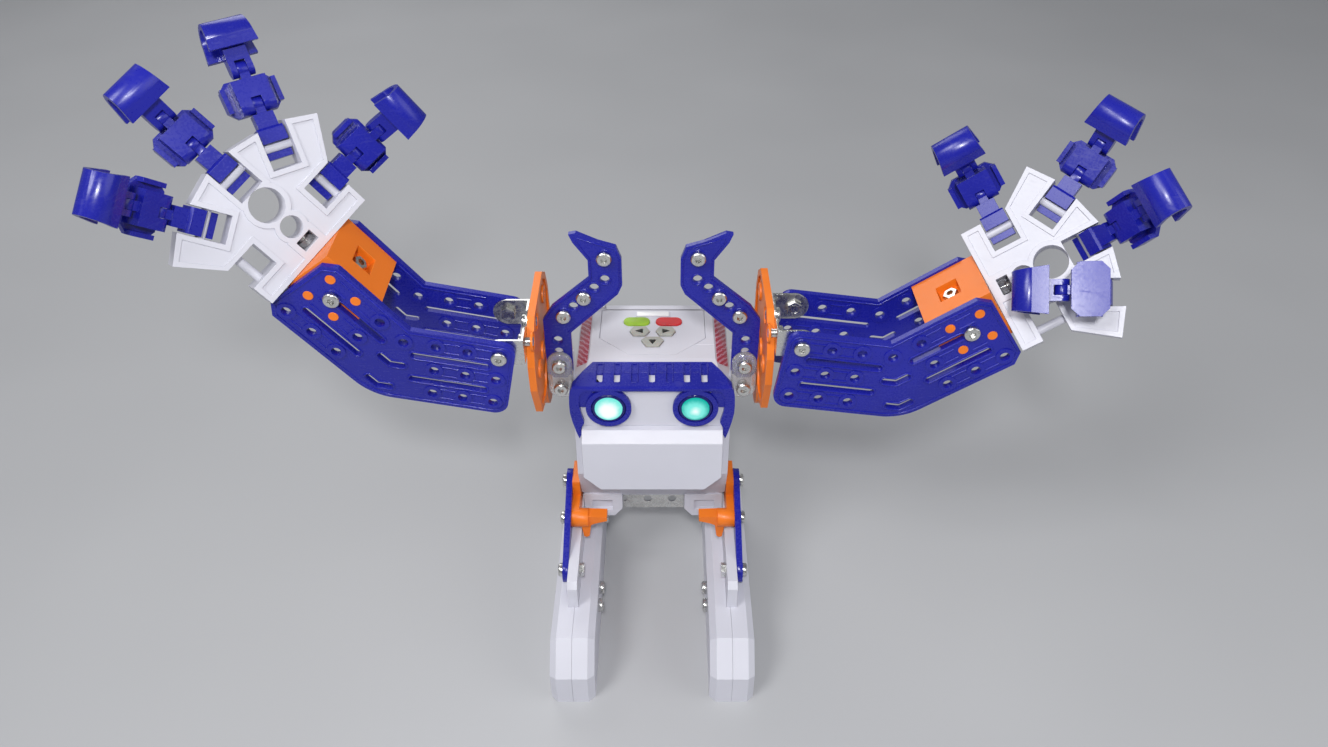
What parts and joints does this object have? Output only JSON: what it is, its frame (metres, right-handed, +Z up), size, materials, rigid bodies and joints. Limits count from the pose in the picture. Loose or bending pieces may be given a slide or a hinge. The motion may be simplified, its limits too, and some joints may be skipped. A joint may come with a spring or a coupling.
{
  "type": "construction kit robot",
  "caption": "Two-legged construction-kit robot with raised arms, big jointed hands, horned shoulders and a keypad on its head.",
  "frame": {"origin": "bottom centre of the whole robot's box in its stored pose, on the floor between the feet", "axes": "+Z up, the robot faces -Y, +X is the picture's right as the robot is seen from the front"},
  "size_m": [0.3818, 0.139, 0.2912],
  "materials": {
    "white_plastic": "satin",
    "blue_plastic": "satin",
    "orange_plastic": "satin",
    "steel": "satin",
    "clear_plastic": "gloss",
    "eye_glow": "gloss",
    "green_rubber": "satin",
    "red_rubber": "satin",
    "grey_rubber": "satin",
    "board_green": "satin",
    "cell_wrap": "satin",
    "motor_grey": "matte"
  },
  "bodies": {
    "body": {"front_shell": "white_plastic", "rear_shell": "white_plastic", "top_panel": "white_plastic", "face_mask": "blue_plastic", "jaw_cover": "white_plastic", "eye_lenses": "eye_glow", "base_strip": "steel", "circuit_board": "board_green", "battery_cells": "cell_wrap", "drive_motors": "motor_grey", "hip_brackets": "orange_plastic", "leg_strips": "blue_plastic", "leg_fins": "white_plastic", "foot_shells": "white_plastic", "horn_plates": "blue_plastic", "clear_links": "clear_plastic", "body_screws": "steel"},
    "go_button": {"go_button": "green_rubber"},
    "stop_button": {"stop_button": "red_rubber"},
    "left_button": {"left_button": "grey_rubber"},
    "right_button": {"right_button": "grey_rubber"},
    "down_button": {"down_button": "grey_rubber"},
    "left_shoulder": {"left_shoulder_plate": "orange_plastic", "left_shoulder_shaft": "steel", "left_arm_brackets": "steel"},
    "left_arm": {"left_arm_plates": "blue_plastic", "left_wrist_block": "orange_plastic", "left_arm_screws": "steel"},
    "left_hand": {"left_palm": "white_plastic"},
    "left_thumb_knuckle": {"left_thumb_knuckle": "blue_plastic"},
    "left_thumb_link": {"left_thumb_link": "blue_plastic"},
    "left_thumb_tip": {"left_thumb_tip": "blue_plastic"},
    "left_first_knuckle": {"left_first_knuckle": "blue_plastic"},
    "left_first_link": {"left_first_link": "blue_plastic"},
    "left_first_tip": {"left_first_tip": "blue_plastic"},
    "left_middle_knuckle": {"left_middle_knuckle": "blue_plastic"},
    "left_middle_link": {"left_middle_link": "blue_plastic"},
    "left_middle_tip": {"left_middle_tip": "blue_plastic"},
    "left_last_knuckle": {"left_last_knuckle": "blue_plastic"},
    "left_last_link": {"left_last_link": "blue_plastic"},
    "left_last_tip": {"left_last_tip": "blue_plastic"},
    "right_shoulder": {"right_shoulder_plate": "orange_plastic", "right_shoulder_shaft": "steel", "right_arm_brackets": "steel"},
    "right_arm": {"right_arm_plates": "blue_plastic", "right_wrist_block": "orange_plastic", "right_arm_screws": "steel"},
    "right_hand": {"right_palm": "white_plastic"},
    "right_thumb_knuckle": {"right_thumb_knuckle": "blue_plastic"},
    "right_thumb_link": {"right_thumb_link": "blue_plastic"},
    "right_thumb_tip": {"right_thumb_tip": "blue_plastic"},
    "right_first_knuckle": {"right_first_knuckle": "blue_plastic"},
    "right_first_link": {"right_first_link": "blue_plastic"},
    "right_first_tip": {"right_first_tip": "blue_plastic"},
    "right_middle_knuckle": {"right_middle_knuckle": "blue_plastic"},
    "right_middle_link": {"right_middle_link": "blue_plastic"},
    "right_middle_tip": {"right_middle_tip": "blue_plastic"},
    "right_last_knuckle": {"right_last_knuckle": "blue_plastic"},
    "right_last_link": {"right_last_link": "blue_plastic"},
    "right_last_tip": {"right_last_tip": "blue_plastic"}
  },
  "joints": [
    {"name": "go_button_press", "type": "slide", "parent": "body", "child": "go_button", "axis": [0, 0, -1], "range_m": [0, 0.0007], "stiffness_N_per_m": 800},
    {"name": "stop_button_press", "type": "slide", "parent": "body", "child": "stop_button", "axis": [0, 0, -1], "range_m": [0, 0.0007], "stiffness_N_per_m": 800},
    {"name": "left_button_press", "type": "slide", "parent": "body", "child": "left_button", "axis": [0, 0, -1], "range_m": [0, 0.0007], "stiffness_N_per_m": 800},
    {"name": "right_button_press", "type": "slide", "parent": "body", "child": "right_button", "axis": [0, 0, -1], "range_m": [0, 0.0007], "stiffness_N_per_m": 800},
    {"name": "down_button_press", "type": "slide", "parent": "body", "child": "down_button", "axis": [0, 0, -1], "range_m": [0, 0.0007], "stiffness_N_per_m": 800},
    {"name": "left_shoulder_turn", "type": "hinge", "parent": "body", "child": "left_shoulder", "pos_m": [-0.03922, 0.0255, 0.122], "axis": [1, 0, 0], "range_deg": [-60, 90]},
    {"name": "left_arm_raise", "type": "hinge", "parent": "left_shoulder", "child": "left_arm", "pos_m": [-0.06442, -0.0051, 0.16898], "axis": [0, 0.9976, 0.0698], "range_deg": [-19.5, 30]},
    {"name": "left_wrist_twist", "type": "hinge", "parent": "left_arm", "child": "left_hand", "pos_m": [-0.13381, -0.00796, 0.20982], "axis": [0.5878, 0.0564, -0.807], "range_deg": [-46, 134]},
    {"name": "left_thumb_knuckle_bend", "type": "hinge", "parent": "left_hand", "child": "left_thumb_knuckle", "pos_m": [-0.12923, 0.00591, 0.23159], "axis": [0.5878, 0.0564, -0.807], "range_deg": [-8, 52]},
    {"name": "left_thumb_link_bend", "type": "hinge", "parent": "left_thumb_knuckle", "child": "left_thumb_link", "pos_m": [-0.11843, 0.01504, 0.24009], "axis": [0.5878, 0.0564, -0.807], "range_deg": [-4, 56]},
    {"name": "left_thumb_tip_bend", "type": "hinge", "parent": "left_thumb_link", "child": "left_thumb_tip", "pos_m": [-0.10951, 0.02146, 0.24704], "axis": [0.5878, 0.0564, -0.807], "range_deg": [-22, 18]},
    {"name": "left_first_knuckle_bend", "type": "hinge", "parent": "left_hand", "child": "left_first_knuckle", "pos_m": [-0.1435, 0.00308, 0.24814], "axis": [0.7854, 0.6168, 0.0526], "range_deg": [-4, 53]},
    {"name": "left_first_link_bend", "type": "hinge", "parent": "left_first_knuckle", "child": "left_first_link", "pos_m": [-0.14903, 0.0089, 0.26255], "axis": [0.7854, 0.6168, 0.0526], "range_deg": [0, 45]},
    {"name": "left_first_tip_bend", "type": "hinge", "parent": "left_first_link", "child": "left_first_tip", "pos_m": [-0.15339, 0.01348, 0.27391], "axis": [0.7854, 0.6168, 0.0526], "range_deg": [-2, 28]},
    {"name": "left_middle_knuckle_bend", "type": "hinge", "parent": "left_hand", "child": "left_middle_knuckle", "pos_m": [-0.15726, -0.01021, 0.24202], "axis": [0.582, 0.6635, 0.4702], "range_deg": [-4, 66]},
    {"name": "left_middle_link_bend", "type": "hinge", "parent": "left_middle_knuckle", "child": "left_middle_link", "pos_m": [-0.16787, -0.00985, 0.25465], "axis": [0.582, 0.6635, 0.4702], "range_deg": [-2, 58]},
    {"name": "left_middle_tip_bend", "type": "hinge", "parent": "left_middle_link", "child": "left_middle_tip", "pos_m": [-0.176, -0.0099, 0.26479], "axis": [0.582, 0.6635, 0.4702], "range_deg": [-24, 16]},
    {"name": "left_last_knuckle_bend", "type": "hinge", "parent": "left_hand", "child": "left_last_knuckle", "pos_m": [-0.16643, -0.02306, 0.22961], "axis": [0.2517, 0.5655, 0.7854], "range_deg": [-23, 27]},
    {"name": "left_last_link_bend", "type": "hinge", "parent": "left_last_knuckle", "child": "left_last_link", "pos_m": [-0.17593, -0.03238, 0.23936], "axis": [0.2517, 0.5655, 0.7854], "range_deg": [-12, 33]},
    {"name": "left_last_tip_bend", "type": "hinge", "parent": "left_last_link", "child": "left_last_tip", "pos_m": [-0.18115, -0.04119, 0.24738], "axis": [0.2517, 0.5655, 0.7854], "range_deg": [-16, 14]},
    {"name": "right_shoulder_turn", "type": "hinge", "parent": "body", "child": "right_shoulder", "pos_m": [0.03378, 0.0255, 0.122], "axis": [1, 0, 0], "range_deg": [-60, 90]},
    {"name": "right_arm_raise", "type": "hinge", "parent": "right_shoulder", "child": "right_arm", "pos_m": [0.05898, -0.00218, 0.17076], "axis": [0, -1, -0.0087], "range_deg": [0, 49.5]},
    {"name": "right_wrist_twist", "type": "hinge", "parent": "right_arm", "child": "right_hand", "pos_m": [0.13805, -0.00231, 0.18619], "axis": [0.8241, -0.0049, 0.5664], "range_deg": [-46, 134]},
    {"name": "right_thumb_knuckle_bend", "type": "hinge", "parent": "right_hand", "child": "right_thumb_knuckle", "pos_m": [0.14066, 0.01286, 0.20741], "axis": [0.8241, -0.0049, 0.5664], "range_deg": [-2, 58]},
    {"name": "right_thumb_link_bend", "type": "hinge", "parent": "right_thumb_knuckle", "child": "right_thumb_link", "pos_m": [0.13372, 0.02381, 0.21761], "axis": [0.8241, -0.0049, 0.5664], "range_deg": [-22, 23]},
    {"name": "right_thumb_tip_bend", "type": "hinge", "parent": "right_thumb_link", "child": "right_thumb_tip", "pos_m": [0.1268, 0.02817, 0.22772], "axis": [0.8241, -0.0049, 0.5664], "range_deg": [-36, 4]},
    {"name": "right_first_knuckle_bend", "type": "hinge", "parent": "right_hand", "child": "right_first_knuckle", "pos_m": [0.15969, 0.01109, 0.21838], "axis": [0.7372, -0.6166, -0.2765], "range_deg": [-9, 41]},
    {"name": "right_first_link_bend", "type": "hinge", "parent": "right_first_knuckle", "child": "right_first_link", "pos_m": [0.16828, 0.01534, 0.23181], "axis": [0.7372, -0.6166, -0.2765], "range_deg": [-6, 39]},
    {"name": "right_first_tip_bend", "type": "hinge", "parent": "right_first_link", "child": "right_first_tip", "pos_m": [0.17442, 0.01766, 0.24303], "axis": [0.7372, -0.6166, -0.2765], "range_deg": [-34, 6]},
    {"name": "right_middle_knuckle_bend", "type": "hinge", "parent": "right_hand", "child": "right_middle_knuckle", "pos_m": [0.17093, -0.00251, 0.20879], "axis": [0.4074, -0.6895, -0.5989], "range_deg": [-43, 7]},
    {"name": "right_middle_link_bend", "type": "hinge", "parent": "right_middle_knuckle", "child": "right_middle_link", "pos_m": [0.17765, -0.00993, 0.2219], "axis": [0.4074, -0.6895, -0.5989], "range_deg": [-8, 37]},
    {"name": "right_middle_tip_bend", "type": "hinge", "parent": "right_middle_link", "child": "right_middle_tip", "pos_m": [0.18141, -0.01675, 0.23231], "axis": [0.4074, -0.6895, -0.5989], "range_deg": [-16, 14]},
    {"name": "right_last_knuckle_bend", "type": "hinge", "parent": "right_hand", "child": "right_last_knuckle", "pos_m": [0.17574, -0.01607, 0.19478], "axis": [-0.0111, -0.6121, -0.7907], "range_deg": [-95, 1]},
    {"name": "right_last_link_bend", "type": "hinge", "parent": "right_last_knuckle", "child": "right_last_link", "pos_m": [0.16795, -0.02752, 0.20375], "axis": [-0.0111, -0.6121, -0.7907], "range_deg": [-78, 2]},
    {"name": "right_last_tip_bend", "type": "hinge", "parent": "right_last_link", "child": "right_last_tip", "pos_m": [0.15547, -0.02457, 0.20165], "axis": [-0.0111, -0.6121, -0.7907], "range_deg": [-5, 3]}
  ]
}
